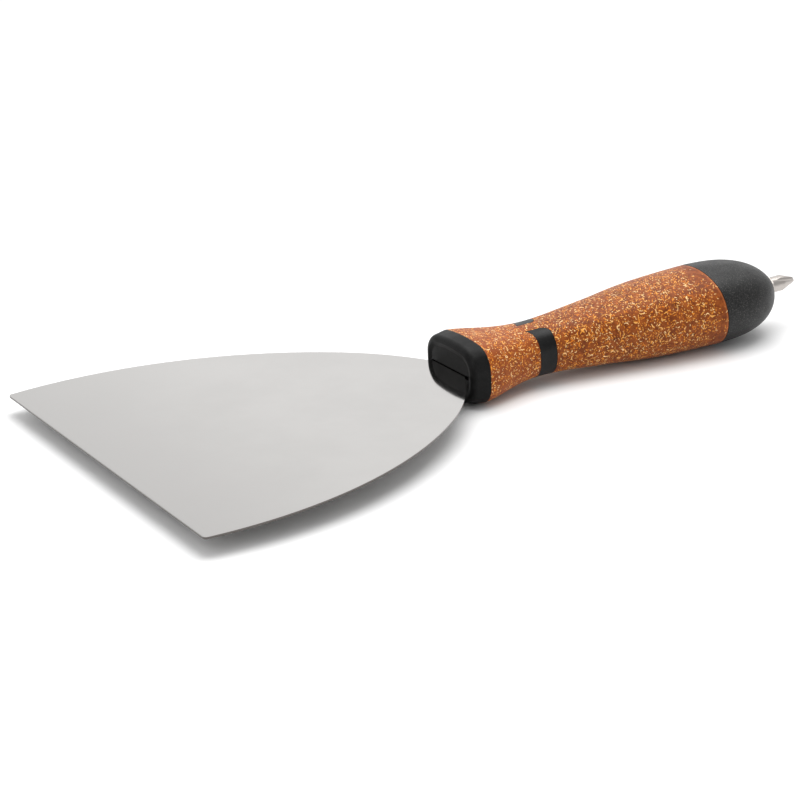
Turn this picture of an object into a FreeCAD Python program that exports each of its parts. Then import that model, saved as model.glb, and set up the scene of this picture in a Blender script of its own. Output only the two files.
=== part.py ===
import FreeCAD, Part
import Sketcher
import math
import os

# Flat drywall joint knife: thin blade, cork-composite grip over a two-part core,
# and a driver bit held by a magnet in a hex socket in the butt.
# Construction frame: X runs along the grip towards the butt, Y across the blade, Z up from
# the blade's face. X = 0 is the front of the collar, Z = 0 the middle of the blade.
# lay_down() then tilts and lifts every sub-part, so that the knife lies on the plane Z = 0.

SIZES = {
    # blade and tang
    "blade_width": 150.0,
    "blade_reach": 132.5,
    "blade_thickness": 0.7,
    "blade_mouth_width": 20.0,
    "side_radius": 142.0,
    "shoulder_reach": 22.0,
    "shoulder_half_width": 39.3,
    "blade_corner_radius": 1.4,
    "tang_thickness": 0.6,
    "neck_width": 19.4,
    "neck_end": 6.2,
    "tang_width": 12.0,
    "tang_end": 62.0,
    "plate_thickness": 1.6,
    "plate_start": 8.0,
    "plate_end": 74.0,
    "rivet_radius": 2.0,
    "rivet_head_radius": 3.4,
    "rivet_head_height": 0.9,
    "rivet_head_room": 0.2,
    "rivet_first": 14.0,
    "rivet_pitch": 22.0,
    # grip envelope: sections at even stations between its two seams
    "seam_x": 6.3,
    "butt_x": 105.9,
    "mouth_half_width": 15.4,
    "mouth_half_height": 10.5,
    "station1_half_width": 17,
    "station1_half_height": 11.1,
    "station1_square": 1,
    "station2_half_width": 13.2,
    "station2_half_height": 9.6,
    "station2_square": 0.72,
    "station3_half_width": 11.1,
    "station3_half_height": 9.15,
    "station3_square": 0.45,
    "station4_half_width": 12.4,
    "station4_half_height": 10.1,
    "station4_square": 0.33,
    "station5_half_width": 14.2,
    "station5_half_height": 11.45,
    "station5_square": 0.25,
    "station6_half_width": 16.4,
    "station6_half_height": 13,
    "station6_square": 0.17,
    "station7_half_width": 17.9,
    "station7_half_height": 13.85,
    "station7_square": 0.1,
    "station8_half_width": 18.8,
    "station8_half_height": 14.4,
    "station8_square": 0.03,
    # butt cap
    "cap_length": 31.7,
    "cap_lead": 6.0,
    "nose_power": 2.75,
    "cap_sag": 0.1,
    "cap_seam_shift": 0.3,
    "cap_seam_lean": 3.9,
    "seam_gap": 0.25,
    # shells, windows and bands
    "grip_wall": 3.0,
    "collar_round": 2.3,
    "dish_front_inset": 1.9,
    "dish_back_inset": 3.4,
    "dish_depth": 0.4,
    "slot_width": 23.6,
    "slot_height": 1.3,
    "band_front": 30.6,
    "band_rear": 37.4,
    "band_horn": 1.9,
    "band_inner_left": 1.1,
    "band_inner_right": 4.7,
    "band_round": 3.2,
    "band_sweep": 6.0,
    "band_gap": 0.15,
    "core_start": 6.6,
    "core_end": 101.0,
    "screw_radius": 1.45,
    "screw_hole_radius": 1.7,
    "screw_head_radius": 2.8,
    "screw_head_height": 1.8,
    "screw_half_length": 5.6,
    "screw_first": 25.0,
    "screw_pitch": 22.0,
    "spigot_radius": 7.0,
    "spigot_start": 88.0,
    # bit and its socket
    "hex_flats": 6.35,
    "hex_clearance": 0.05,
    "socket_radius": 4.6,
    "socket_start": 119.4,
    "socket_end": 134.0,
    "socket_floor": 124.8,
    "magnet_radius": 3.0,
    "magnet_length": 3.0,
    "bit_start": 125.0,
    "bit_length": 25.0,
    "bit_hex_length": 14.0,
    "bit_neck_radius": 2.95,
    "bit_neck_length": 5.6,
    "bit_tip_radius": 1.1,
    "flute_radius": 1.1,
    "flute_valley": 0.95,
    "flute_lean": 13.5,
    "flute_turn": 45.0,
    "nose_hole_radius": 3.9,
    # room around hidden metal, and the reach of cutting shapes
    "side_room": 0.1,
    "end_room": 0.3,
    "overshoot": 1.0,
    "cutter_side": 80.0,
    # resting pose
    "rest_tilt": 1.9,
}

STATIONS = 8
FASTENERS = 3
BUTT = "Sizes.station8_"
BUTT_NEIGHBOUR = "Sizes.station7_"
GRIP_END_FRACTION = 0.4
CAP_FRACTIONS = (0, 0.2, 0.4, 0.56, 0.7, 0.81, 0.895, 0.955, 0.99)
PARTS_FOLDER = "parts"
FINE_MESH = 0.02
HALF_CUTTER = "(Sizes.cutter_side / 2)"
ACROSS = FreeCAD.Vector(0, 1, 0)
# maps a sketch's own X, Y, Z to the construction frame's Y, Z, X
SECTION_TURN = FreeCAD.Rotation(FreeCAD.Vector(1, 1, 1), 120)
START, END, CENTRE = 1, 2, 3
X_AXIS, Y_AXIS = -1, -2
ORIGIN = -1

doc = FreeCAD.newDocument("joint_knife")
sheet = doc.addObject("Spreadsheet::Sheet", "Sizes")
for row, (alias, number) in enumerate(SIZES.items(), start=1):
    sheet.set("A%d" % row, alias)
    sheet.set("B%d" % row, str(number))
    sheet.setAlias("B%d" % row, alias)
doc.recompute()


def size(name):
    """Value of one cell of the sheet."""
    return float(getattr(sheet, name))


def value_of(expression):
    """Number that an expression on the sheet gives."""
    return float(sheet.evalExpression(expression))


def bind(thing, **expressions):
    """Bind properties of a Part object to expressions on the sheet."""
    for name, expression in expressions.items():
        thing.setExpression(name, expression)
    return thing


def add(kind, name, **expressions):
    """Add a Part object with its properties bound to the sheet."""
    return bind(doc.addObject(kind, name), **expressions)


def place(thing, x="0", y="0", z="0", axis=None, angle="0"):
    """Bind a Part object's position, and turn it about an axis."""
    if axis is not None:
        thing.Placement = FreeCAD.Placement(FreeCAD.Vector(), FreeCAD.Rotation(axis, value_of(angle)))
    thing.setExpression(".Placement.Base.x", x)
    thing.setExpression(".Placement.Base.y", y)
    thing.setExpression(".Placement.Base.z", z)
    return thing


def cylinder_along_x(name, start, length, radius, z="0"):
    """Cylinder with its axis along the grip."""
    body = add("Part::Cylinder", name, Radius=radius, Height=length)
    return place(body, x=start, z=z, axis=ACROSS, angle="90")


def cut(name, base, *tools):
    """Part of the base that is outside every tool."""
    result = base
    for number, tool in enumerate(tools, start=1):
        last = number == len(tools)
        step = doc.addObject("Part::Cut", name if last else "%s_cut_%d" % (name, number))
        step.Base = result
        step.Tool = tool
        result = step
    return result


def common(name, base, tool):
    """Part of the base that is inside the tool."""
    result = doc.addObject("Part::Common", name)
    result.Base = base
    result.Tool = tool
    return result


def constrain(sketch, kind, name, *arguments, expression):
    """Add a dimension to a sketch and bind it to the sheet."""
    number = sketch.addConstraint(Sketcher.Constraint(kind, *arguments, value_of(expression)))
    sketch.renameConstraint(number, name)
    sketch.setExpression("Constraints." + name, expression)


def centre_offset(sketch, kind, name, arc, side, expression):
    """Place an arc's centre at side * expression along one axis, whatever the expression's sign."""
    ahead = value_of(expression) >= 0
    points = (ORIGIN, START, arc, CENTRE) if ahead == (side > 0) else (arc, CENTRE, ORIGIN, START)
    constrain(sketch, kind, name, *points, expression=expression if ahead else "-(%s)" % expression)


def tangent_arc(centre, radius, first, last):
    """Arc of a circle between two angles in radians."""
    circle = Part.Circle(FreeCAD.Vector(centre[0], centre[1], 0), FreeCAD.Vector(0, 0, 1), radius)
    return Part.ArcOfCircle(circle, first, last)


def oval_section(name, x, width, height, square, lift="0", inset="0"):
    """Closed section of eight tangent arcs: two flanks, two crowns and four equal corners."""
    half_width = "(%s - %s)" % (width, inset)
    half_height = "(%s - %s)" % (height, inset)
    crown = "pow(%s; 2) / %s * (1.02 + 1.85 * %s)" % (half_width, half_height, square)
    # radius at which flank and corner would be one arc: squareness flattens one and tightens the other
    even = "(2 * {crown} * {b} - pow({a}; 2) - pow({b}; 2)) / (2 * ({crown} - {a}))".format(
        a=half_width, b=half_height, crown=crown)
    flank = "%s * (1.02 + 4 * pow(%s; 1.6))" % (even, square)
    corner = "%s * (0.98 - 0.26 * pow(%s; 0.6))" % (even, square)
    a, b = value_of(half_width), value_of(half_height)
    flank_radius, crown_radius, corner_radius = value_of(flank), value_of(crown), value_of(corner)

    flank_x = a - flank_radius
    crown_y = b - crown_radius
    span = math.hypot(flank_x, crown_y)
    to_flank = flank_radius - corner_radius
    to_crown = crown_radius - corner_radius
    along = (to_flank ** 2 - to_crown ** 2 + span ** 2) / (2 * span)
    aside = math.sqrt(max(to_flank ** 2 - along ** 2, 0.0))
    unit_x, unit_y = -flank_x / span, crown_y / span
    candidates = [
        (flank_x + along * unit_x - way * aside * unit_y, along * unit_y + way * aside * unit_x)
        for way in (1, -1)
    ]
    corner_x, corner_y = max(candidates, key=sum)
    low = math.atan2(corner_y, corner_x - flank_x)
    high = math.atan2(corner_y - crown_y, corner_x)

    sketch = doc.addObject("Sketcher::SketchObject", name)
    sketch.Placement = FreeCAD.Placement(FreeCAD.Vector(), SECTION_TURN)
    sketch.setExpression(".Placement.Base.x", x)
    sketch.setExpression(".Placement.Base.z", lift)
    turn = math.pi
    arcs = [
        tangent_arc((flank_x, 0), flank_radius, -low, low),
        tangent_arc((corner_x, corner_y), corner_radius, low, high),
        tangent_arc((0, crown_y), crown_radius, high, turn - high),
        tangent_arc((-corner_x, corner_y), corner_radius, turn - high, turn - low),
        tangent_arc((-flank_x, 0), flank_radius, turn - low, turn + low),
        tangent_arc((-corner_x, -corner_y), corner_radius, turn + low, turn + high),
        tangent_arc((0, -crown_y), crown_radius, turn + high, 2 * turn - high),
        tangent_arc((corner_x, -corner_y), corner_radius, -high, -low),
    ]
    sketch.addGeometry(arcs, False)
    for arc in range(8):
        sketch.addConstraint(Sketcher.Constraint("Tangent", arc, END, (arc + 1) % 8, START))
    for flank_arc in (0, 4):
        sketch.addConstraint(Sketcher.Constraint("PointOnObject", flank_arc, CENTRE, X_AXIS))
    for crown_arc in (2, 6):
        sketch.addConstraint(Sketcher.Constraint("PointOnObject", crown_arc, CENTRE, Y_AXIS))
    sketch.addConstraint(Sketcher.Constraint("Equal", 0, 4))
    sketch.addConstraint(Sketcher.Constraint("Equal", 2, 6))
    for corner_arc in (3, 5, 7):
        sketch.addConstraint(Sketcher.Constraint("Equal", 1, corner_arc))
    constrain(sketch, "Radius", "flank_radius", 0, expression=flank)
    constrain(sketch, "Radius", "crown_radius", 2, expression=crown)
    constrain(sketch, "Radius", "corner_radius", 1, expression=corner)
    flank_offset = "%s - %s" % (half_width, flank)
    crown_offset = "%s - %s" % (half_height, crown)
    centre_offset(sketch, "DistanceX", "flank_right", 0, 1, flank_offset)
    centre_offset(sketch, "DistanceX", "flank_left", 4, -1, flank_offset)
    centre_offset(sketch, "DistanceY", "crown_top", 2, 1, crown_offset)
    centre_offset(sketch, "DistanceY", "crown_bottom", 6, -1, crown_offset)
    return sketch


def loft(name, sections):
    """Smooth solid through closed sections."""
    result = doc.addObject("Part::Loft", name)
    result.Sections = sections
    result.Solid = True
    result.Ruled = False
    return result


def station_section(name, station, inset="0"):
    """Section of the grip at one of its even stations."""
    cell = "Sizes.station%d_" % station
    x = "Sizes.seam_x + (Sizes.butt_x - Sizes.seam_x) * %d / %d" % (station - 1, STATIONS - 1)
    return oval_section(name, x, cell + "half_width", cell + "half_height", cell + "square", inset=inset)


def cap_section(name, fraction, inset="0"):
    """Section of the butt cap at a fraction of its length from the seam."""
    shrink = "sqrt(1 - pow(%g; Sizes.nose_power))" % fraction
    return oval_section(
        name,
        "Sizes.butt_x + %g * Sizes.cap_length" % fraction,
        BUTT + "half_width * " + shrink,
        BUTT + "half_height * " + shrink,
        BUTT + "square",
        lift="-Sizes.cap_sag * sin(%g)" % (180 * fraction),
        inset=inset,
    )


def grip_loft(name, inset="0"):
    """Smooth solid from the collar's seam to behind the cap's seam, at an inset from the grip's surface."""
    sections = [station_section("%s_%d" % (name, station), station, inset)
                for station in range(1, STATIONS + 1)]
    sections.append(cap_section(name + "_end", GRIP_END_FRACTION, inset))
    return loft(name, sections)


def cap_envelope():
    """Outer shape of the cap, from before its seam to the nose."""
    run = "Sizes.cap_lead / (Sizes.butt_x - Sizes.seam_x) * %d" % (STATIONS - 1)
    width, height = [
        "({0} - ({0} - {1}) * {2})".format(BUTT + half, BUTT_NEIGHBOUR + half, run)
        for half in ("half_width", "half_height")
    ]
    sections = [oval_section("cap_start", "Sizes.butt_x - Sizes.cap_lead", width, height, BUTT + "square")]
    for number, fraction in enumerate(CAP_FRACTIONS, start=1):
        sections.append(cap_section("cap_%d" % number, fraction))
    return loft("cap_envelope", sections)


def slice_of_loft(name, whole, start, end):
    """Part of a loft between two X stations."""
    region = block(name + "_region", start, end, HALF_CUTTER, "-" + HALF_CUTTER, HALF_CUTTER)
    return common(name, whole, region)


def behind_cap_seam(name, gap):
    """Box behind the leaning seam of the cap."""
    region = add("Part::Box", name, Length="Sizes.cutter_side", Width="Sizes.cutter_side",
                 Height="Sizes.cutter_side")
    return place(
        region,
        x="Sizes.butt_x + Sizes.cap_seam_shift + %s + %s * sin(Sizes.cap_seam_lean)" % (gap, HALF_CUTTER),
        y="-" + HALF_CUTTER,
        z="-%s * cos(Sizes.cap_seam_lean)" % HALF_CUTTER,
        axis=ACROSS,
        angle="-Sizes.cap_seam_lean",
    )


def window_outline(name, inner_edge, gap):
    """Band's outline seen from above, grown by a gap: a round corner behind and a swept horn in front."""
    front = "(Sizes.band_front - %s)" % gap
    rear = "(Sizes.band_rear + %s)" % gap
    inner = "(%s - %s)" % (inner_edge, gap)
    horn_x, sweep_y = front + " - Sizes.band_horn", inner + " + Sizes.band_sweep"
    x0, x1, y0, y1 = value_of(front), value_of(rear), value_of(inner), value_of(HALF_CUTTER)
    corner, horn, sweep = size("band_round"), size("band_horn"), size("band_sweep")
    tuck = corner * (1 - math.sqrt(0.5))
    sweep_radius = (horn ** 2 + sweep ** 2) / (2 * horn)
    half_angle = math.atan2(sweep, sweep_radius - horn) / 2
    sweep_middle = FreeCAD.Vector(x0 - sweep_radius * (1 - math.cos(half_angle)),
                                  y0 + sweep - sweep_radius * math.sin(half_angle), 0)
    tip = FreeCAD.Vector(x0 - horn, y0, 0)
    corner_start = FreeCAD.Vector(x1 - corner, y0, 0)
    corner_end = FreeCAD.Vector(x1, y0 + corner, 0)
    outer_rear, outer_front = FreeCAD.Vector(x1, y1, 0), FreeCAD.Vector(x0, y1, 0)
    sweep_start = FreeCAD.Vector(x0, y0 + sweep, 0)

    sketch = doc.addObject("Sketcher::SketchObject", name)
    sketch.addGeometry([
        Part.LineSegment(tip, corner_start),
        Part.Arc(corner_start, FreeCAD.Vector(x1 - tuck, y0 + tuck, 0), corner_end),
        Part.LineSegment(corner_end, outer_rear),
        Part.LineSegment(outer_rear, outer_front),
        Part.LineSegment(outer_front, sweep_start),
        Part.Arc(sweep_start, sweep_middle, tip),
    ], False)
    for kind, *ends in [
        ("Tangent", 0, END, 1, START), ("Tangent", 1, END, 2, START), ("Coincident", 2, END, 3, START),
        ("Coincident", 3, END, 4, START), ("Tangent", 4, END, 5, END), ("Coincident", 5, START, 0, START),
        ("Horizontal", 0), ("Vertical", 2), ("Horizontal", 3), ("Vertical", 4),
    ]:
        sketch.addConstraint(Sketcher.Constraint(kind, *ends))
    for kind, tag, line, expression in [
        ("DistanceX", "horn_x", 0, horn_x), ("DistanceY", "inner_y", 0, inner),
        ("DistanceX", "rear_x", 3, rear), ("DistanceY", "outer_y", 3, HALF_CUTTER),
        ("DistanceX", "front_x", 4, front),
    ]:
        constrain(sketch, kind, tag, ORIGIN, START, line, START, expression=expression)
    constrain(sketch, "DistanceY", "sweep_y", ORIGIN, START, 4, END, expression=sweep_y)
    constrain(sketch, "Radius", "corner_radius", 1, expression="Sizes.band_round")
    return sketch


def upright_prism(name, inner_edge, gap):
    """Prism through the whole grip over a band's outline."""
    prism = doc.addObject("Part::Extrusion", name)
    prism.Base = window_outline(name + "_outline", inner_edge, gap)
    prism.DirMode = "Custom"
    prism.Dir = FreeCAD.Vector(0, 0, 1)
    prism.Solid = True
    return bind(prism, LengthFwd=HALF_CUTTER, LengthRev=HALF_CUTTER)


def band_windows(name, gap):
    """Prisms over the left and the right flank; the left one reaches further over the top."""
    left = upright_prism(name + "_left", "Sizes.band_inner_left", gap)
    right = doc.addObject("Part::Mirroring", name + "_right")
    right.Source = upright_prism(name + "_turned", "Sizes.band_inner_right", gap)
    right.Normal = ACROSS
    return left, right


def body_plane(body, role):
    """One of a body's own origin planes."""
    return next(plane for plane in body.Origin.OriginFeatures if plane.Role == role)


def flat_sketch(body, name, role="XY_Plane"):
    """Empty sketch on a plane of its body."""
    sketch = body.newObject("Sketcher::SketchObject", name)
    sketch.AttachmentSupport = [(body_plane(body, role), "")]
    sketch.MapMode = "FlatFace"
    return sketch


def rectangle(sketch, start, end, half_width, tag):
    """Rectangle between two X stations, even about the X axis."""
    x0, x1, half = value_of(start), value_of(end), value_of(half_width)
    corners = [(x0, -half), (x1, -half), (x1, half), (x0, half)]
    vectors = [FreeCAD.Vector(x, y, 0) for x, y in corners]
    first = sketch.GeometryCount
    for number in range(4):
        sketch.addGeometry(Part.LineSegment(vectors[number], vectors[(number + 1) % 4]), False)
    for number in range(4):
        follower = first + (number + 1) % 4
        sketch.addConstraint(Sketcher.Constraint("Coincident", first + number, END, follower, START))
    for level_edge in (first, first + 2):
        sketch.addConstraint(Sketcher.Constraint("Horizontal", level_edge))
    sketch.addConstraint(Sketcher.Constraint("Vertical", first + 3))
    sketch.addConstraint(Sketcher.Constraint("Symmetric", first + 1, START, first + 1, END, X_AXIS))
    constrain(sketch, "DistanceY", tag + "_width", first + 1, START, first + 1, END,
              expression="2 * %s" % half_width)
    constrain(sketch, "DistanceX", tag + "_length", first, START, first, END,
              expression="%s - %s" % (end, start))
    if x0 > 0:
        constrain(sketch, "DistanceX", tag + "_start", ORIGIN, START, first, START, expression=start)
    else:
        sketch.addConstraint(Sketcher.Constraint("PointOnObject", first, START, Y_AXIS))


def pad_both_ways(body, name, sketch, thickness):
    """Pad a sketch evenly to both sides of its plane."""
    pad = body.newObject("PartDesign::Pad", name)
    pad.Profile = sketch
    pad.SideType = "Symmetric"
    pad.setExpression("Length", thickness)
    pad.Refine = False
    return pad


def hole_row(body, name, first, pitch, radius, count):
    """Equal holes in a row along the tang, through everything."""
    sketch = flat_sketch(body, name + "_sketch")
    for number in range(count):
        x = "%s + %d * %s" % (first, number, pitch)
        circle = Part.Circle(FreeCAD.Vector(value_of(x), 0, 0), FreeCAD.Vector(0, 0, 1), value_of(radius))
        sketch.addGeometry(circle, False)
        sketch.addConstraint(Sketcher.Constraint("PointOnObject", number, CENTRE, X_AXIS))
        constrain(sketch, "DistanceX", "hole_x_%d" % number, ORIGIN, START, number, CENTRE, expression=x)
        constrain(sketch, "Radius", "hole_radius_%d" % number, number, expression=radius)
    pocket = body.newObject("PartDesign::Pocket", name)
    pocket.Profile = sketch
    pocket.SideType = "Symmetric"
    pocket.setExpression("Length", "10 * Sizes.plate_thickness")
    return pocket


def rivet_holes(body, tag):
    """Holes that the rivets fill."""
    return hole_row(body, tag + "_rivet_holes", "Sizes.rivet_first", "Sizes.rivet_pitch",
                    "Sizes.rivet_radius", FASTENERS)


def screw_holes(body, tag, count):
    """Holes that clear the core's screws."""
    return hole_row(body, tag + "_screw_holes", "Sizes.screw_first", "Sizes.screw_pitch",
                    "Sizes.screw_hole_radius", count)


def half_blade_outline(body):
    """Half of the blade seen from above: front edge, corner, long side arc and shoulder arc."""
    sketch = flat_sketch(body, "blade_outline")
    reach, half_width = size("blade_reach"), size("blade_width") / 2
    corner, side = size("blade_corner_radius"), size("side_radius")
    mouth = FreeCAD.Vector(0, size("blade_mouth_width") / 2, 0)
    shoulder = FreeCAD.Vector(-size("shoulder_reach"), size("shoulder_half_width"), 0)
    front = FreeCAD.Vector(-reach, half_width - corner, 0)
    side_start = FreeCAD.Vector(corner - reach, half_width, 0)
    chord = shoulder - side_start
    inward = FreeCAD.Vector(chord.y, -chord.x, 0).normalize()
    side_centre = (side_start + shoulder) * 0.5 + inward * math.sqrt(side ** 2 - chord.Length ** 2 / 4)
    side_middle = side_centre - inward * side
    to_centre = (side_centre - shoulder).normalize()
    to_mouth = mouth - shoulder
    shoulder_radius = to_mouth.Length ** 2 / (2 * to_centre.dot(to_mouth))
    shoulder_centre = shoulder + to_centre * shoulder_radius
    halfway = (shoulder + mouth) * 0.5 - shoulder_centre
    shoulder_middle = shoulder_centre + halfway.normalize() * shoulder_radius
    corner_middle = FreeCAD.Vector(-reach + corner * (1 - math.sqrt(0.5)),
                                   half_width - corner * (1 - math.sqrt(0.5)), 0)
    origin = FreeCAD.Vector()
    sketch.addGeometry([
        Part.LineSegment(FreeCAD.Vector(-reach, 0, 0), front),
        Part.Arc(front, corner_middle, side_start),
        Part.Arc(side_start, side_middle, shoulder),
        Part.Arc(shoulder, shoulder_middle, mouth),
        Part.LineSegment(mouth, origin),
        Part.LineSegment(origin, FreeCAD.Vector(-reach, 0, 0)),
    ], False)
    return sketch


def blade():
    """Thin flat blade, mirrored from one half, with a coined neck and tang and its rivet holes."""
    body = doc.addObject("PartDesign::Body", "blade")
    half = pad_both_ways(body, "blade_half", half_blade_outline(body), "Sizes.blade_thickness")
    mirror = body.newObject("PartDesign::Mirrored", "blade_both_halves")
    mirror.Originals = [half]
    mirror.MirrorPlane = (body_plane(body, "XZ_Plane"), [""])
    body.Tip = mirror
    neck = flat_sketch(body, "neck_outline")
    rectangle(neck, "0", "Sizes.neck_end", "(Sizes.neck_width / 2)", "neck")
    pad_both_ways(body, "neck", neck, "Sizes.tang_thickness")
    tang = flat_sketch(body, "tang_outline")
    rectangle(tang, "Sizes.neck_end", "Sizes.tang_end", "(Sizes.tang_width / 2)", "tang")
    pad_both_ways(body, "tang", tang, "Sizes.tang_thickness")
    doc.recompute()
    rivet_holes(body, "tang")
    body.Tip = screw_holes(body, "tang", 2)
    return body


def tang_plate():
    """Stiff plate riveted under the tang."""
    body = doc.addObject("PartDesign::Body", "tang_plate")
    sketch = flat_sketch(body, "plate_outline")
    sketch.setExpression(".AttachmentOffset.Base.z", "-(Sizes.tang_thickness + Sizes.plate_thickness) / 2")
    rectangle(sketch, "Sizes.plate_start", "Sizes.plate_end", "(Sizes.tang_width / 2)", "plate")
    pad_both_ways(body, "plate", sketch, "Sizes.plate_thickness")
    doc.recompute()
    rivet_holes(body, "plate")
    body.Tip = screw_holes(body, "plate", FASTENERS)
    return body


def stack_along_z(name, x, steps):
    """Upright cylinders on one axis, fused: each step is its radius, its foot and its height."""
    cylinders = []
    for number, (radius, foot, height) in enumerate(steps, start=1):
        step = add("Part::Cylinder", "%s_step_%d" % (name, number), Radius=radius, Height=height)
        cylinders.append(place(step, x=x, z=foot))
    fused = doc.addObject("Part::MultiFuse", name)
    fused.Shapes = cylinders
    return fused


RIVET_TOP = "Sizes.tang_thickness / 2"
RIVET_FOOT = "(-Sizes.tang_thickness / 2 - Sizes.plate_thickness)"


def rivet(name, x, growth="0"):
    """Rivet through tang and plate, or with a growth the room that its heads need."""
    head = "Sizes.rivet_head_radius + " + growth
    height = "Sizes.rivet_head_height + " + growth
    return stack_along_z(name, x, [
        ("Sizes.rivet_radius", RIVET_FOOT, "Sizes.tang_thickness + Sizes.plate_thickness"),
        (head, RIVET_TOP, height),
        (head, "%s - (%s)" % (RIVET_FOOT, height), height),
    ])


def screw(name, x):
    """Screw that clamps the core's halves: head above, thread below."""
    head_foot = "Sizes.screw_half_length - Sizes.screw_head_height"
    return stack_along_z(name, x, [
        ("Sizes.screw_radius", "-Sizes.screw_half_length", "2 * Sizes.screw_half_length"),
        ("Sizes.screw_head_radius", head_foot, "Sizes.screw_head_height"),
    ])


def in_a_row(maker, name, first, pitch, **options):
    """Equal pieces along the grip."""
    return [maker("%s_%d" % (name, number + 1), "%s + %d * %s" % (first, number, pitch), **options)
            for number in range(FASTENERS)]


def group(name, pieces):
    """One node of separate solids."""
    compound = doc.addObject("Part::Compound", name)
    compound.Links = pieces
    return compound


def block(name, x0, x1, half_width, z0, z1):
    """Box between two X stations and two heights, even about the XZ plane."""
    box = add("Part::Box", name, Length="%s - (%s)" % (x1, x0), Width="2 * %s" % half_width,
              Height="%s - (%s)" % (z1, z0))
    return place(box, x=x0, y="-%s" % half_width, z=z0)


def metal_room():
    """Room inside the core for the tang, its plate and the rivets' heads."""
    slab = block("tang_room", "Sizes.core_start - Sizes.overshoot", "Sizes.plate_end + Sizes.end_room",
                 "(Sizes.tang_width / 2 + Sizes.side_room)", RIVET_FOOT, RIVET_TOP)
    heads = in_a_row(rivet, "rivet_room", "Sizes.rivet_first", "Sizes.rivet_pitch",
                     growth="Sizes.rivet_head_room")
    room = doc.addObject("Part::MultiFuse", "metal_room")
    room.Shapes = [slab] + heads
    return room


def core_halves(inside, screws):
    """Upper and lower half of the hard core, split in the blade's plane."""
    solid = slice_of_loft("core_solid", inside, "Sizes.core_start", "Sizes.core_end")
    spigot_bore = cylinder_along_x("spigot_bore", "Sizes.spigot_start",
                                   "Sizes.core_end - Sizes.spigot_start + Sizes.overshoot",
                                   "(Sizes.spigot_radius + Sizes.side_room)")
    hollow = cut("core_hollow", solid, metal_room(), spigot_bore, *screws)
    above = block("above_split", "0", "Sizes.butt_x", HALF_CUTTER, "0", HALF_CUTTER)
    below = block("below_split", "0", "Sizes.butt_x", HALF_CUTTER, "-" + HALF_CUTTER, "0")
    return common("core_upper", hollow, above), common("core_lower", hollow, below)


def collar_dish():
    """Shallow hollow of the collar's front face, with sloping sides."""
    outer, inner = [
        oval_section(name, x, "Sizes.mouth_half_width", "Sizes.mouth_half_height",
                     "Sizes.station1_square", inset=inset)
        for name, x, inset in (
            ("dish_front", "-Sizes.dish_depth", "(2 * Sizes.dish_front_inset - Sizes.dish_back_inset)"),
            ("dish_back", "Sizes.dish_depth", "Sizes.dish_back_inset"),
        )
    ]
    return loft("collar_dish", [outer, inner])


def front_collar():
    """Collar at the blade's mouth: round rim, dished front face and a wide slot for the blade."""
    mouth = oval_section("collar_mouth", "0", "Sizes.mouth_half_width", "Sizes.mouth_half_height",
                         "Sizes.station1_square")
    seam = station_section("collar_seam", 1)
    body = loft("collar_body", [mouth, seam])
    doc.recompute()
    rim = doc.addObject("Part::Fillet", "collar_rounded")
    rim.Base = body
    radius = size("collar_round")
    front_edges = [number for number, edge in enumerate(body.Shape.Edges, start=1)
                   if edge.BoundBox.XMax < FINE_MESH]
    rim.Edges = [(number, radius, radius) for number in front_edges]
    slot = block("blade_slot", "-Sizes.overshoot", "Sizes.seam_x + Sizes.overshoot",
                 "(Sizes.slot_width / 2)", "-Sizes.slot_height / 2", "Sizes.slot_height / 2")
    return cut("front_collar", rim, collar_dish(), slot)


def cork_grip(envelope, inside, windows):
    """Cork-composite sleeve around the core, open where the bands sit."""
    behind = behind_cap_seam("behind_grip", "-Sizes.seam_gap / 2")
    return cut("cork_grip", envelope, inside, behind, *windows)


def band(name, window, envelope, inside):
    """Hard band that fills one window of the sleeve."""
    return cut(name, common(name + "_block", envelope, window), inside)


def butt_cap(inside):
    """Rounded cap with a flange and a spigot that enter the core, bored for the bit's socket."""
    behind = behind_cap_seam("behind_seam", "Sizes.seam_gap / 2")
    outer = common("cap_outer", cap_envelope(), behind)
    rear = "Sizes.butt_x + Sizes.cap_seam_lean"
    flange = slice_of_loft("cap_flange", inside, "Sizes.core_end", rear)
    spigot = cylinder_along_x("cap_spigot", "Sizes.spigot_start", rear + " - Sizes.spigot_start",
                              "Sizes.spigot_radius")
    solid = doc.addObject("Part::MultiFuse", "cap_solid")
    solid.Shapes = [outer, flange, spigot]
    seat = cylinder_along_x("socket_seat", "Sizes.socket_start", "Sizes.socket_end - Sizes.socket_start",
                            "Sizes.socket_radius")
    nose_hole = cylinder_along_x("nose_hole", "Sizes.socket_end - Sizes.overshoot", "Sizes.cap_length",
                                 "Sizes.nose_hole_radius")
    return cut("butt_cap", solid, seat, nose_hole)


def hexagon(name, start, length, flats):
    """Hexagonal bar along the grip."""
    bar = add("Part::Prism", name, Circumradius="%s / sqrt(3)" % flats, Height=length)
    bar.Polygon = 6
    return place(bar, x=start, axis=ACROSS, angle="90")


MAGNET_START = "(Sizes.socket_floor - Sizes.magnet_length - Sizes.side_room)"


def bit_socket():
    """Steel sleeve with a hexagonal bore and a seat for the magnet."""
    tube = cylinder_along_x("socket_tube", "Sizes.socket_start", "Sizes.socket_end - Sizes.socket_start",
                            "Sizes.socket_radius")
    hex_bore = hexagon("hex_bore", "Sizes.socket_floor",
                       "Sizes.socket_end - Sizes.socket_floor + Sizes.overshoot",
                       "(Sizes.hex_flats + 2 * Sizes.hex_clearance)")
    magnet_bore = cylinder_along_x("magnet_bore", MAGNET_START, "Sizes.magnet_length + 2 * Sizes.side_room",
                                   "Sizes.magnet_radius")
    return cut("bit_socket", tube, hex_bore, magnet_bore)


def socket_magnet():
    """Disc magnet at the bottom of the socket."""
    disc = cylinder_along_x("magnet_disc", MAGNET_START, "Sizes.magnet_length", "Sizes.magnet_radius")
    return group("socket_magnet", [disc])


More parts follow.
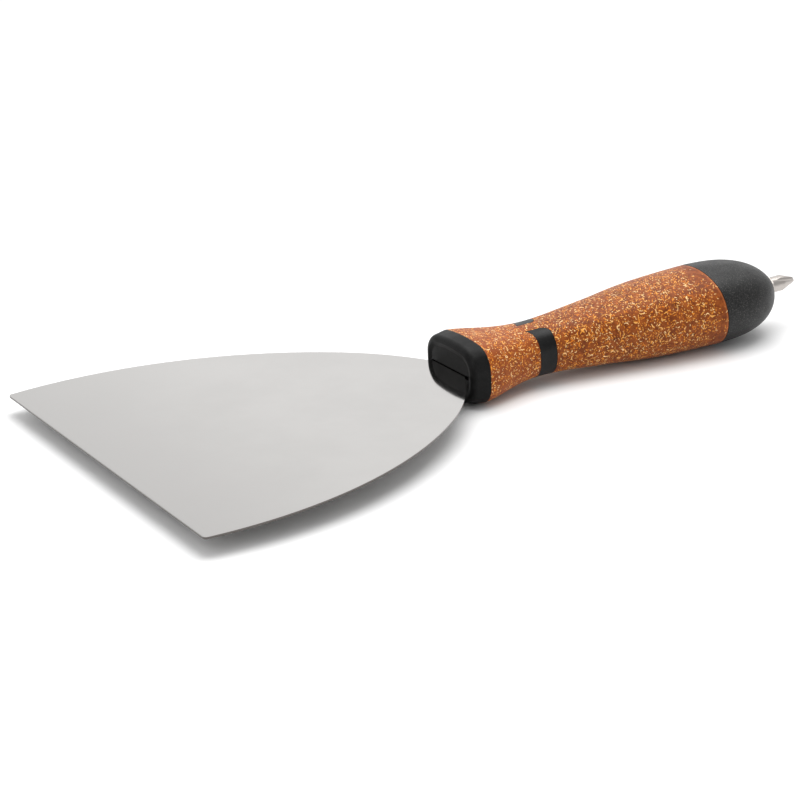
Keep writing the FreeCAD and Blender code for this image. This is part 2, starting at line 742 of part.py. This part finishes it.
def flutes():
    """Round cutters at each quarter turn, leaning in towards the bit's tip."""
    half_length = "Sizes.bit_length / 2"
    cutter = add("Part::Cylinder", "flute_cutter", Radius="Sizes.flute_radius", Height="Sizes.bit_length")
    place(
        cutter,
        x="Sizes.bit_start + Sizes.bit_length - %s * cos(Sizes.flute_lean)" % half_length,
        z="Sizes.flute_valley + Sizes.flute_radius + %s * sin(Sizes.flute_lean)" % half_length,
        axis=ACROSS,
        angle="90 + Sizes.flute_lean",
    )
    turned = []
    for quarter in range(4):
        copy = doc.addObject("Part::Compound", "flute_%d" % (quarter + 1))
        copy.Links = [cutter]
        turned.append(place(copy, axis=FreeCAD.Vector(1, 0, 0), angle="90 * %d + Sizes.flute_turn" % quarter))
    return turned


def driver_bit():
    """Cross-head insert bit: hexagonal shank, round neck and a fluted blunt cone."""
    neck_start = "(Sizes.bit_start + Sizes.bit_hex_length)"
    tip_start = "(%s + Sizes.bit_neck_length)" % neck_start
    shank = hexagon("bit_shank", "Sizes.bit_start", "Sizes.bit_hex_length", "Sizes.hex_flats")
    neck = cylinder_along_x("bit_neck", neck_start, "Sizes.bit_neck_length", "Sizes.bit_neck_radius")
    cone = add("Part::Cone", "bit_cone", Radius1="Sizes.bit_neck_radius", Radius2="Sizes.bit_tip_radius",
               Height="Sizes.bit_start + Sizes.bit_length - %s" % tip_start)
    place(cone, x=tip_start, axis=ACROSS, angle="90")
    solid = doc.addObject("Part::MultiFuse", "bit_solid")
    solid.Shapes = [shank, neck, cone]
    return cut("driver_bit", solid, *flutes())


def build():
    """All sub-parts, in the construction frame."""
    envelope = grip_loft("grip_envelope")
    inside = grip_loft("grip_inside", inset="Sizes.grip_wall")
    rivets = in_a_row(rivet, "rivet", "Sizes.rivet_first", "Sizes.rivet_pitch")
    screws = in_a_row(screw, "screw", "Sizes.screw_first", "Sizes.screw_pitch")
    left, right = band_windows("band_outline", "0")
    core_upper, core_lower = core_halves(inside, screws)
    return [
        blade(),
        tang_plate(),
        group("tang_rivets", rivets),
        front_collar(),
        core_upper,
        core_lower,
        group("core_screws", screws),
        cork_grip(envelope, inside, band_windows("cork_window", "Sizes.band_gap")),
        band("band_left", left, envelope, inside),
        band("band_right", right, envelope, inside),
        butt_cap(inside),
        bit_socket(),
        socket_magnet(),
        driver_bit(),
    ]


def lay_down(nodes):
    """Tilt every sub-part about Y, then shift all of them so that the box's bottom centre is the origin."""
    turn = FreeCAD.Rotation(ACROSS, -size("rest_tilt"))
    for node in nodes:
        node.Placement = FreeCAD.Placement(FreeCAD.Vector(), turn) * node.Placement
    doc.recompute()
    box = FreeCAD.BoundBox()
    for node in nodes:
        for point in node.Shape.tessellate(FINE_MESH)[0]:
            box.add(point)
    shift = FreeCAD.Placement(FreeCAD.Vector(-box.Center.x, -box.Center.y, -box.ZMin), FreeCAD.Rotation())
    for node in nodes:
        node.Placement = shift * node.Placement
    doc.recompute()
    print("knife lies at", shift.Base)


def check(nodes):
    """Stop before anything is written if a feature failed or a shape is unsound."""
    for thing in doc.Objects:
        if "Invalid" in thing.State or "Error" in thing.State:
            raise RuntimeError("%s failed: %s" % (thing.Name, thing.State))
    for node in nodes:
        if node.Shape.isNull() or not node.Shape.isValid() or node.Shape.Volume <= 0:
            raise RuntimeError("%s has no sound shape" % node.Label)


def write(nodes):
    """One STEP file for each sub-part."""
    os.makedirs(PARTS_FOLDER, exist_ok=True)
    for node in nodes:
        node.Shape.exportStep(os.path.join(PARTS_FOLDER, node.Label + ".step"))


nodes = build()
doc.recompute()
lay_down(nodes)
check(nodes)
write(nodes)
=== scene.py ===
import bpy
import math
from mathutils import Euler, Matrix, Vector

# Studio picture of a flat joint knife lying on a pale floor. Every piece keeps its CAD shape;
# this script gives the pieces their finishes, and adds the floor, the lights and the camera.
# Shades are display values from 0 to 255. Lengths in the finishes of the pieces are millimetres
# in the grip's construction frame. Lengths of the camera are millimetres in the row frame, and
# those of the floor and the lights are metres in the row frame.

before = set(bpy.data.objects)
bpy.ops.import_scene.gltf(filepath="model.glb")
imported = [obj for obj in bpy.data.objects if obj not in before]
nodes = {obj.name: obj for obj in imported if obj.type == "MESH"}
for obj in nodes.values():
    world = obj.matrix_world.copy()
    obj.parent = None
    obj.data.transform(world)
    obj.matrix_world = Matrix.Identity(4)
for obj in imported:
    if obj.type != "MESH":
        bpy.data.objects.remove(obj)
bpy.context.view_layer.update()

MM = 0.001

# the grip's construction frame: X from the collar's front to the butt, Z up from the blade
REST_TILT = math.radians(1.9)
REST_SHIFT = Vector((-8.758, 0.0, 10.885))
GRIP_AXIS = (1.0, 0.0, 0.0)

# seam between the cork sleeve and the butt cap
SEAM_SPOT = (106.2, 0.0, 0.0)
SEAM_LEAN = math.radians(3.9)
SEAM_NORMAL = (math.cos(SEAM_LEAN), 0.0, math.sin(SEAM_LEAN))

# colour sockets of Blender's Mix node, by number because their names repeat
MIX_FIRST, MIX_SECOND, MIX_RESULT = 6, 7, 2


# ---------------------------------------------------------------- shader graphs

def linear(shade, factor=1.0):
    """Linear colour of a shade, darkened or lightened by a factor."""
    levels = [factor * value / 255.0 for value in shade]
    channels = [level / 12.92 if level <= 0.04045 else ((level + 0.055) / 1.055) ** 2.4 for level in levels]
    return (*channels, 1.0)


class Graph:
    """Node tree of a material or a world, built from values and sockets."""

    def __init__(self, owner, surface_kind, output_kind):
        owner.use_nodes = True
        self.owner = owner
        self.tree = owner.node_tree
        self.tree.nodes.clear()
        self.surface = self.tree.nodes.new(surface_kind)
        output = self.tree.nodes.new(output_kind)
        self.tree.links.new(self.surface.outputs[0], output.inputs["Surface"])

    def feed(self, socket, value):
        """Link a socket, or set its plain value."""
        if isinstance(value, bpy.types.NodeSocket):
            self.tree.links.new(value, socket)
        elif value is not None:
            socket.default_value = value

    def node(self, kind, inputs=(), **settings):
        """New node with settings, and inputs given as (name or number, value) pairs."""
        node = self.tree.nodes.new(kind)
        for key, value in settings.items():
            setattr(node, key, value)
        for key, value in inputs:
            self.feed(node.inputs[key], value)
        return node

    def finish(self, **inputs):
        """Feed the surface's inputs, underscores standing for spaces, and return the owner."""
        for key, value in inputs.items():
            self.feed(self.surface.inputs[key.replace("_", " ")], value)
        return self.owner

    def math(self, operation, a, b=None, c=None):
        inputs = [(0, a), (1, b), (2, c)]
        return self.node("ShaderNodeMath", inputs, operation=operation).outputs[0]

    def plus(self, a, b):
        return self.math("ADD", a, b)

    def minus(self, a, b):
        return self.math("SUBTRACT", a, b)

    def times(self, a, b):
        return self.math("MULTIPLY", a, b)

    def times_plus(self, a, b, c):
        """Product of a and b, plus c."""
        return self.math("MULTIPLY_ADD", a, b, c)

    def vector(self, operation, a, b=None):
        node = self.node("ShaderNodeVectorMath", [(0, a), (1, b)], operation=operation)
        return node.outputs["Value" if operation in ("DOT_PRODUCT", "LENGTH") else "Vector"]

    def scaled(self, vector, scale):
        inputs = [(0, vector), ("Scale", scale)]
        return self.node("ShaderNodeVectorMath", inputs, operation="SCALE").outputs["Vector"]

    def split(self, vector):
        node = self.node("ShaderNodeSeparateXYZ", [(0, vector)])
        return node.outputs["X"], node.outputs["Y"], node.outputs["Z"]

    def step(self, value, low, high, to_low=0.0, to_high=1.0):
        """Smooth step from to_low at low to to_high at high."""
        inputs = [("Value", value), ("From Min", low), ("From Max", high),
                  ("To Min", to_low), ("To Max", to_high)]
        return self.node("ShaderNodeMapRange", inputs, interpolation_type="SMOOTHSTEP").outputs["Result"]

    def mix(self, factor, first, second):
        """Colour between the first at factor 0 and the second at factor 1."""
        inputs = [("Factor", factor), (MIX_FIRST, first), (MIX_SECOND, second)]
        return self.node("ShaderNodeMix", inputs, data_type="RGBA").outputs[MIX_RESULT]

    def ramp(self, factor, stops):
        """Colour ramp through (position, shade) stops."""
        node = self.node("ShaderNodeValToRGB", [("Fac", factor)])
        elements = node.color_ramp.elements
        while len(elements) < len(stops):
            elements.new(1.0)
        for element, (position, shade) in zip(elements, stops):
            element.position = position
            element.color = linear(shade)
        return node.outputs["Color"]

    def noise(self, at, scale, detail=2.0, roughness=0.5, output="Fac"):
        inputs = [("Vector", at), ("Scale", scale), ("Detail", detail), ("Roughness", roughness)]
        return self.node("ShaderNodeTexNoise", inputs).outputs[output]

    def cells(self, at, scale):
        """Random colour and centre of the cell around a position."""
        node = self.node("ShaderNodeTexVoronoi", [("Vector", at), ("Scale", scale)])
        return node.outputs["Color"], node.outputs["Position"]

    def bump(self, height, depth, strength):
        """Normal bumped by a height, whose unit is a depth in millimetres."""
        inputs = [("Height", height), ("Distance", depth * MM), ("Strength", strength)]
        return self.node("ShaderNodeBump", inputs).outputs["Normal"]

    def grip_position(self):
        """Position in the grip's construction frame, in millimetres."""
        turn = Euler((0.0, REST_TILT, 0.0))
        shift = -(turn.to_matrix() @ REST_SHIFT)
        at = self.node("ShaderNodeTexCoord").outputs["Object"]
        inputs = [("Vector", at), ("Location", shift), ("Rotation", turn), ("Scale", (1 / MM,) * 3)]
        return self.node("ShaderNodeMapping", inputs).outputs["Vector"]


def material_graph(name):
    """Graph of a new material with one principled surface."""
    material = bpy.data.materials.new(name)
    return Graph(material, "ShaderNodeBsdfPrincipled", "ShaderNodeOutputMaterial")


# ---------------------------------------------------------------- cork composite

BINDER = [(0.30, (98, 42, 8)), (0.5, (128, 62, 16)), (0.72, (152, 80, 28))]
SLIVER = [(0.0, (200, 108, 22)), (0.35, (222, 138, 40)), (0.65, (234, 170, 84)), (0.92, (244, 208, 150))]
SPECK_SHADE = (46, 18, 5)
FRONT_SHADE = (160, 76, 20)
RIM_SHADE = (180, 104, 56)
DENT_SHADE = (84, 34, 10)

# how strongly the binder is tinted in front of the bands, at the rim by the cap and in the dents
FRONT_TINT, RIM_TINT, DENT_TINT = 0.35, 0.35, 0.5
FRONT_END, FRONT_START = 34.0, 24.0

# heights in parts of the bump's depth, which is in millimetres
BUMP_DEPTH = 0.12
BINDER_HEIGHT, SLIVER_HEIGHT, DENT_HEIGHT = 0.4, 0.35, 5.0

# stretch before the cap where slivers get sparse, and how far patches shift it
SPARSE_END, SPARSE_START = 6.0, 13.0
SPARSE_SHIFT = 8.0

# layers of cork slivers from fine to coarse; share is the part of the cells that hold a sliver
SLIVER_LAYERS = [
    {"cell": 0.95, "half_length": 0.36, "half_width": 0.15, "share": 0.60, "shift": 3.1},
    {"cell": 1.5, "half_length": 0.62, "half_width": 0.18, "share": 0.62, "shift": 17.7},
    {"cell": 2.1, "half_length": 0.95, "half_width": 0.22, "share": 0.50, "shift": 41.3},
]
SHIFT_DIRECTION = (1.0, 0.37, -0.61)

# the wander of a cell's border in parts of the cell, and a sliver's bend and length in parts of
# its half length
CELL_WARP = 0.55
LARGEST_BEND = 0.8
SHORTEST, LENGTH_SPREAD = 0.55, 0.7

# makes a third random value out of two
RESHUFFLE = 7.31

# shallow dents in the cork: centre and width
CORK_DENTS = [((71.4, -0.8, 12.9), 2.2), ((86.0, -14.4, 8.4), 2.0), ((52.0, 11.0, 6.5), 1.8)]
DENT_WANDER = 1.2


def chips(graph, at, normal, density, cell, half_length, half_width, share, shift):
    """One layer of bent slivers, at most one in each cell: (mask, random value, random value)."""
    wander = graph.vector("SUBTRACT", graph.noise(at, 1.1 / cell, detail=1.0, output="Color"), (0.5,) * 3)
    moved = graph.vector("ADD", at, tuple(shift * part for part in SHIFT_DIRECTION))
    spot = graph.vector("ADD", moved, graph.scaled(wander, CELL_WARP * cell))
    colour, centre = graph.cells(spot, 1.0 / cell)
    offset = graph.vector("SUBTRACT", spot, centre)
    one, two, three = graph.split(colour)

    # the offset from the centre, measured on the surface in the sliver's own directions
    sideways = graph.vector("NORMALIZE", graph.vector("CROSS_PRODUCT", normal, GRIP_AXIS))
    along = graph.vector("DOT_PRODUCT", offset, GRIP_AXIS)
    across = graph.vector("DOT_PRODUCT", offset, sideways)
    angle = graph.times(one, math.tau)
    cosine = graph.math("COSINE", angle)
    sine = graph.math("SINE", angle)
    u = graph.plus(graph.times(along, cosine), graph.times(across, sine))
    v = graph.minus(graph.times(across, cosine), graph.times(along, sine))
    bend = graph.times_plus(two, 2 * LARGEST_BEND / half_length, -LARGEST_BEND / half_length)
    v = graph.plus(v, graph.times(bend, graph.times(u, u)))

    length = graph.times_plus(three, LENGTH_SPREAD * half_length, SHORTEST * half_length)
    u = graph.math("DIVIDE", u, length)
    v = graph.math("DIVIDE", v, half_width)
    reach = graph.plus(graph.times(u, u), graph.times(v, v))
    shape = graph.step(reach, low=1.0, high=0.55)
    chance = graph.math("FRACT", graph.times(graph.plus(one, three), RESHUFFLE))
    present = graph.math("LESS_THAN", chance, graph.times(density, share))
    return graph.times(shape, present), two, three


def sliver_density(graph, from_cap, patches):
    """Share of the slivers that stay: patchy, and low close to the cap."""
    ragged = graph.times_plus(patches, SPARSE_SHIFT, from_cap)
    near_cap = graph.step(ragged, SPARSE_END, SPARSE_START, to_low=0.14)
    patchy = graph.step(patches, low=0.3, high=0.7, to_low=0.8, to_high=1.15)
    return graph.times(near_cap, patchy)


def cork_binder(graph, at):
    """Brown binder with dark specks, paler in front of the bands."""
    binder = graph.ramp(graph.noise(at, 0.45, detail=4.0, roughness=0.6), BINDER)
    specks = graph.step(graph.noise(at, 2.6, roughness=0.6), low=0.38, high=0.28)
    colour = graph.mix(specks, binder, linear(SPECK_SHADE))
    front = graph.step(graph.split(at)[0], FRONT_END, FRONT_START)
    return graph.mix(graph.times(front, FRONT_TINT), colour, linear(FRONT_SHADE))


def dent_mask(graph, at, centre, width):
    """Mask of a dent with a ragged outline."""
    ragged = graph.vector("ADD", at, graph.scaled(graph.noise(at, 0.9, output="Color"), DENT_WANDER))
    away = graph.vector("LENGTH", graph.vector("SUBTRACT", ragged, centre))
    return graph.step(away, width, 0.3 * width)


def cork_composite():
    """Brown binder with light cork slivers of three sizes, sparse before the cap."""
    graph = material_graph("cork_composite")
    at = graph.grip_position()
    normal = graph.node("ShaderNodeNewGeometry").outputs["Normal"]
    behind_seam = graph.vector("DOT_PRODUCT", graph.vector("SUBTRACT", at, SEAM_SPOT), SEAM_NORMAL)
    from_cap = graph.times(-1.0, behind_seam)
    density = sliver_density(graph, from_cap, graph.noise(at, 0.09))
    colour = cork_binder(graph, at)
    height = graph.times(graph.noise(at, 1.6, detail=3.0, roughness=0.6), BINDER_HEIGHT)

    for layer in SLIVER_LAYERS:
        mask, tone, hue = chips(graph, at, normal, density, **layer)
        strength = graph.times(mask, graph.step(hue, low=0.0, high=0.5, to_low=0.65))
        colour = graph.mix(strength, colour, graph.ramp(tone, SLIVER))
        height = graph.plus(height, graph.times(mask, SLIVER_HEIGHT))

    rim = graph.step(from_cap, low=1.1, high=0.5)
    colour = graph.mix(graph.times(rim, RIM_TINT), colour, linear(RIM_SHADE))
    for centre, width in CORK_DENTS:
        dent = dent_mask(graph, at, centre, width)
        colour = graph.mix(graph.times(dent, DENT_TINT), colour, linear(DENT_SHADE))
        height = graph.minus(height, graph.times(dent, DENT_HEIGHT))
    roughness = graph.step(graph.noise(at, 0.8, detail=3.0), low=0.3, high=0.7, to_low=0.42, to_high=0.56)
    return graph.finish(Base_Color=colour, Roughness=roughness, Specular_IOR_Level=0.16,
                        Sheen_Weight=0.04, Sheen_Roughness=0.5,
                        Normal=graph.bump(height, BUMP_DEPTH, strength=0.8))


# ---------------------------------------------------------------- plastics

DUST_SHADE = (150, 148, 144)
GRAIN_ROUGHNESS = 0.12


def plastic(name, shade, roughness, grain, depth, dust, gloss=0.16):
    """Moulded plastic: faint mottling, fine grain, dust and soft rubbing marks."""
    graph = material_graph(name)
    at = graph.grip_position()
    mottle = graph.step(graph.noise(at, 0.35, detail=3.0), low=0.3, high=0.7)
    colour = graph.mix(mottle, linear(shade, 0.82), linear(shade, 1.2))
    dusty = graph.step(graph.noise(at, 3.2, roughness=0.7), low=0.54, high=0.7)
    colour = graph.mix(graph.times(dusty, dust), colour, linear(DUST_SHADE))

    smooth, rough = roughness
    fine = graph.noise(at, grain, detail=3.0, roughness=0.65)
    rubbed = graph.step(graph.noise(at, 0.2), low=0.35, high=0.7)
    worn = graph.plus(graph.times(rubbed, rough - smooth), smooth)
    grainy = graph.times_plus(fine, GRAIN_ROUGHNESS, graph.minus(worn, GRAIN_ROUGHNESS / 2))
    return graph.finish(Base_Color=colour, Roughness=grainy, Specular_IOR_Level=gloss,
                        Normal=graph.bump(fine, depth, strength=0.6))


# ---------------------------------------------------------------- metals

# painted reflection: the blade is darker towards its front edge, and dark on the thin sides of the sheet,
# in place of its dimmer reflections there
PAINTED_DIM_FRONT, PAINTED_DIM_END = -150.0, -50.0
PAINTED_DIM_FACTOR = 0.91
SHEET_SIDE_PAINTED_REFLECTION = (96, 92, 90)

STAIN_FACTOR = 0.8
STREAK_ROUGHNESS = 0.02


def painted_blade_reflections(graph, at, shade, colour):
    """Colour of the blade with painted reflections: dimmer towards its front, and dark on its thin sides.
    """
    # painted reflection: the colour dims towards the blade's front, in place of a dimmer reflection of the
    # surroundings there
    painted_reflection_share = graph.step(graph.split(at)[0], PAINTED_DIM_FRONT, PAINTED_DIM_END)
    colour = graph.mix(painted_reflection_share, linear(shade, PAINTED_DIM_FACTOR), colour)
    # painted reflection: upright faces of the sheet get a dark colour, in place of the dark surroundings
    # they reflect
    facing = graph.node("ShaderNodeNewGeometry").outputs["True Normal"]
    upright = graph.math("ABSOLUTE", graph.split(facing)[2])
    return graph.mix(graph.step(upright, low=0.75, high=0.5), colour, linear(SHEET_SIDE_PAINTED_REFLECTION))


def metal(name, shade, roughness, streak, depth, stains, cloudy=(0.95, 1.03), painted_light=None):
    """Bare or plated metal: fine streaks, cloudy roughness and faint stains."""
    graph = material_graph(name)
    at = graph.grip_position()
    cloud = graph.step(graph.noise(at, 0.035, detail=4.0, roughness=0.6), low=0.3, high=0.7)
    dark, light = (linear(shade, factor) for factor in cloudy)
    colour = graph.mix(cloud, dark, light)
    stain = graph.step(graph.noise(at, 0.12, detail=5.0, roughness=0.7), low=0.6, high=0.74)
    colour = graph.mix(graph.times(stain, stains), colour, linear(shade, STAIN_FACTOR))
    # for the blade, a step that paints its reflections into the colour
    if painted_light is not None:
        colour = painted_light(graph, at, shade, colour)

    smooth, rough = roughness
    lines = graph.noise(graph.vector("MULTIPLY", at, streak), 1.0, detail=4.0, roughness=0.7)
    uneven = graph.times_plus(cloud, rough - smooth, smooth)
    uneven = graph.plus(uneven, graph.times(lines, STREAK_ROUGHNESS))
    return graph.finish(Base_Color=colour, Metallic=1.0, Roughness=uneven,
                        Normal=graph.bump(lines, depth, strength=0.5))


# ---------------------------------------------------------------- finishes of the pieces

# noise scales that draw a metal's streaks along the grip, upright, or in no direction
FINE_ALONG = (0.6, 6.0, 6.0)
PLATE_ALONG = (0.5, 5.0, 5.0)
ROD_ALONG = (0.4, 4.0, 4.0)
UPRIGHT = (3.0, 3.0, 0.5)
EVEN = (1.5, 1.5, 1.5)


def black_plastics():
    """Finishes of the collar, the bands and the butt cap."""
    found = {
        "front_collar": plastic("collar_plastic", (19, 19, 19), roughness=(0.38, 0.46),
                                grain=3.0, depth=0.012, dust=0.03, gloss=0.09),
        "butt_cap": plastic("cap_plastic", (18, 18, 18), roughness=(0.42, 0.5),
                            grain=2.6, depth=0.08, dust=0.3, gloss=0.26),
    }
    for side in ("left", "right"):
        found["band_" + side] = plastic("band_plastic_" + side, (16, 16, 16), roughness=(0.3, 0.4),
                                        grain=3.0, depth=0.014, dust=0.03)
    return found


def core_plastics():
    """Finishes of the two halves of the hard core."""
    return {
        "core_" + half: plastic("core_nylon_" + half, (62, 62, 64), roughness=(0.45, 0.6),
                                grain=3.0, depth=0.02, dust=0.1)
        for half in ("upper", "lower")
    }


def metals():
    """Finishes of the blade, the fasteners and the bit with its holder."""
    return {
        # the blade's colour holds painted reflections: dimmer towards its front, and dark on the thin sides
        "blade": metal("blade_steel", (191, 189, 187), roughness=(0.05, 0.075), streak=FINE_ALONG,
                       depth=0.0003, stains=0.05, cloudy=(0.985, 1.005), painted_light=painted_blade_reflections),
        "tang_plate": metal("plain_steel", (178, 177, 175), roughness=(0.3, 0.42), streak=PLATE_ALONG,
                            depth=0.01, stains=0.4),
        "tang_rivets": metal("rivet_steel", (186, 184, 180), roughness=(0.24, 0.34), streak=UPRIGHT,
                             depth=0.008, stains=0.3),
        "core_screws": metal("screw_steel", (164, 160, 152), roughness=(0.24, 0.36), streak=UPRIGHT,
                             depth=0.008, stains=0.3),
        "bit_socket": metal("socket_steel", (150, 149, 148), roughness=(0.28, 0.4), streak=ROD_ALONG,
                            depth=0.01, stains=0.4),
        "socket_magnet": metal("magnet_plating", (190, 188, 184), roughness=(0.14, 0.22), streak=EVEN,
                               depth=0.004, stains=0.1),
        "driver_bit": metal("bit_steel", (184, 178, 173), roughness=(0.3, 0.38), streak=ROD_ALONG,
                            depth=0.008, stains=0.25),
    }


finishes = {"cork_grip": cork_composite(), **black_plastics(), **core_plastics(), **metals()}
for name, material in finishes.items():
    piece = nodes[name]
    piece.data.materials.clear()
    piece.data.materials.append(material)


# ---------------------------------------------------------------- stage

FLOOR_SIZE = 12.0
FLOOR_DARK, FLOOR_LIGHT = (228, 228, 228), (232, 232, 232)

BRIGHT_SIDE = (0.473, 0.81, 0.346)
DIM_LEVEL, BRIGHT_LEVEL = 0.76, 1.5

# camera above the blade's left front, with its angles in degrees
CAMERA_AZIMUTH, CAMERA_ELEVATION, CAMERA_ROLL = -30.2789, 20.2814, -1.5581
CAMERA_TARGET = (-25.413, 5.743, 1.582)
CAMERA_DISTANCE = 891.27
LENS, SENSOR_WIDTH = 116.332, 36.0
NEAREST_SEEN = 10.0


def pale_floor():
    """Large pale floor."""
    bpy.ops.mesh.primitive_plane_add(size=FLOOR_SIZE)
    floor = bpy.context.object
    floor.name = "floor"
    graph = material_graph("floor_paper")
    at = graph.node("ShaderNodeTexCoord").outputs["Object"]
    colour = graph.mix(graph.noise(at, 3.0), linear(FLOOR_DARK), linear(FLOOR_LIGHT))
    floor.data.materials.append(graph.finish(Base_Color=colour, Roughness=0.9, Specular_IOR_Level=0.1))
    return floor


def soft_light(name, place, target, width, power):
    """Square area light that looks at a target."""
    lamp = bpy.data.lights.new(name, "AREA")
    lamp.size = width
    lamp.energy = power
    light = bpy.data.objects.new(name, lamp)
    bpy.context.scene.collection.objects.link(light)
    light.location = place
    light.rotation_euler = (Vector(target) - Vector(place)).to_track_quat("-Z", "Y").to_euler()
    return light


def pale_world():
    """Soft surround, brightest low on the far side."""
    graph = Graph(bpy.data.worlds.new("studio"), "ShaderNodeBackground", "ShaderNodeOutputWorld")
    direction = graph.node("ShaderNodeTexCoord").outputs["Generated"]
    towards = graph.vector("DOT_PRODUCT", direction, BRIGHT_SIDE)
    level = graph.step(towards, low=0.1, high=0.95, to_low=DIM_LEVEL, to_high=BRIGHT_LEVEL)
    bpy.context.scene.world = graph.finish(Strength=level)


def low_camera():
    """Camera that looks down at the knife from its left front."""
    angles = (CAMERA_AZIMUTH, CAMERA_ELEVATION, CAMERA_ROLL)
    azimuth, elevation, roll = (math.radians(angle) for angle in angles)
    target = Vector(CAMERA_TARGET) * MM
    distance = CAMERA_DISTANCE * MM
    level = Vector((math.cos(azimuth), math.sin(azimuth), 0.0))
    back = Vector((math.sin(azimuth) * math.cos(elevation), -math.cos(azimuth) * math.cos(elevation),
                   math.sin(elevation)))
    upright = back.cross(level)
    right = level * math.cos(roll) + upright * math.sin(roll)
    up = back.cross(right)
    lens = bpy.data.cameras.new("camera")
    lens.lens = LENS
    lens.sensor_width = SENSOR_WIDTH
    lens.clip_start = NEAREST_SEEN * MM
    camera = bpy.data.objects.new("camera", lens)
    bpy.context.scene.collection.objects.link(camera)
    turn = Matrix((right, up, back)).transposed().to_4x4()
    camera.matrix_world = Matrix.Translation(target + back * distance) @ turn
    bpy.context.scene.camera = camera


pale_floor()
soft_light("top_light", place=(0.15, 0.1, 0.9), target=(0.0, 0.0, 0.0), width=0.9, power=9.0)
soft_light("left_light", place=(-0.9, -0.5, 0.7), target=(0.0, 0.0, 0.0), width=0.7, power=3.0)
pale_world()
low_camera()
bpy.context.scene.view_settings.view_transform = "Standard"
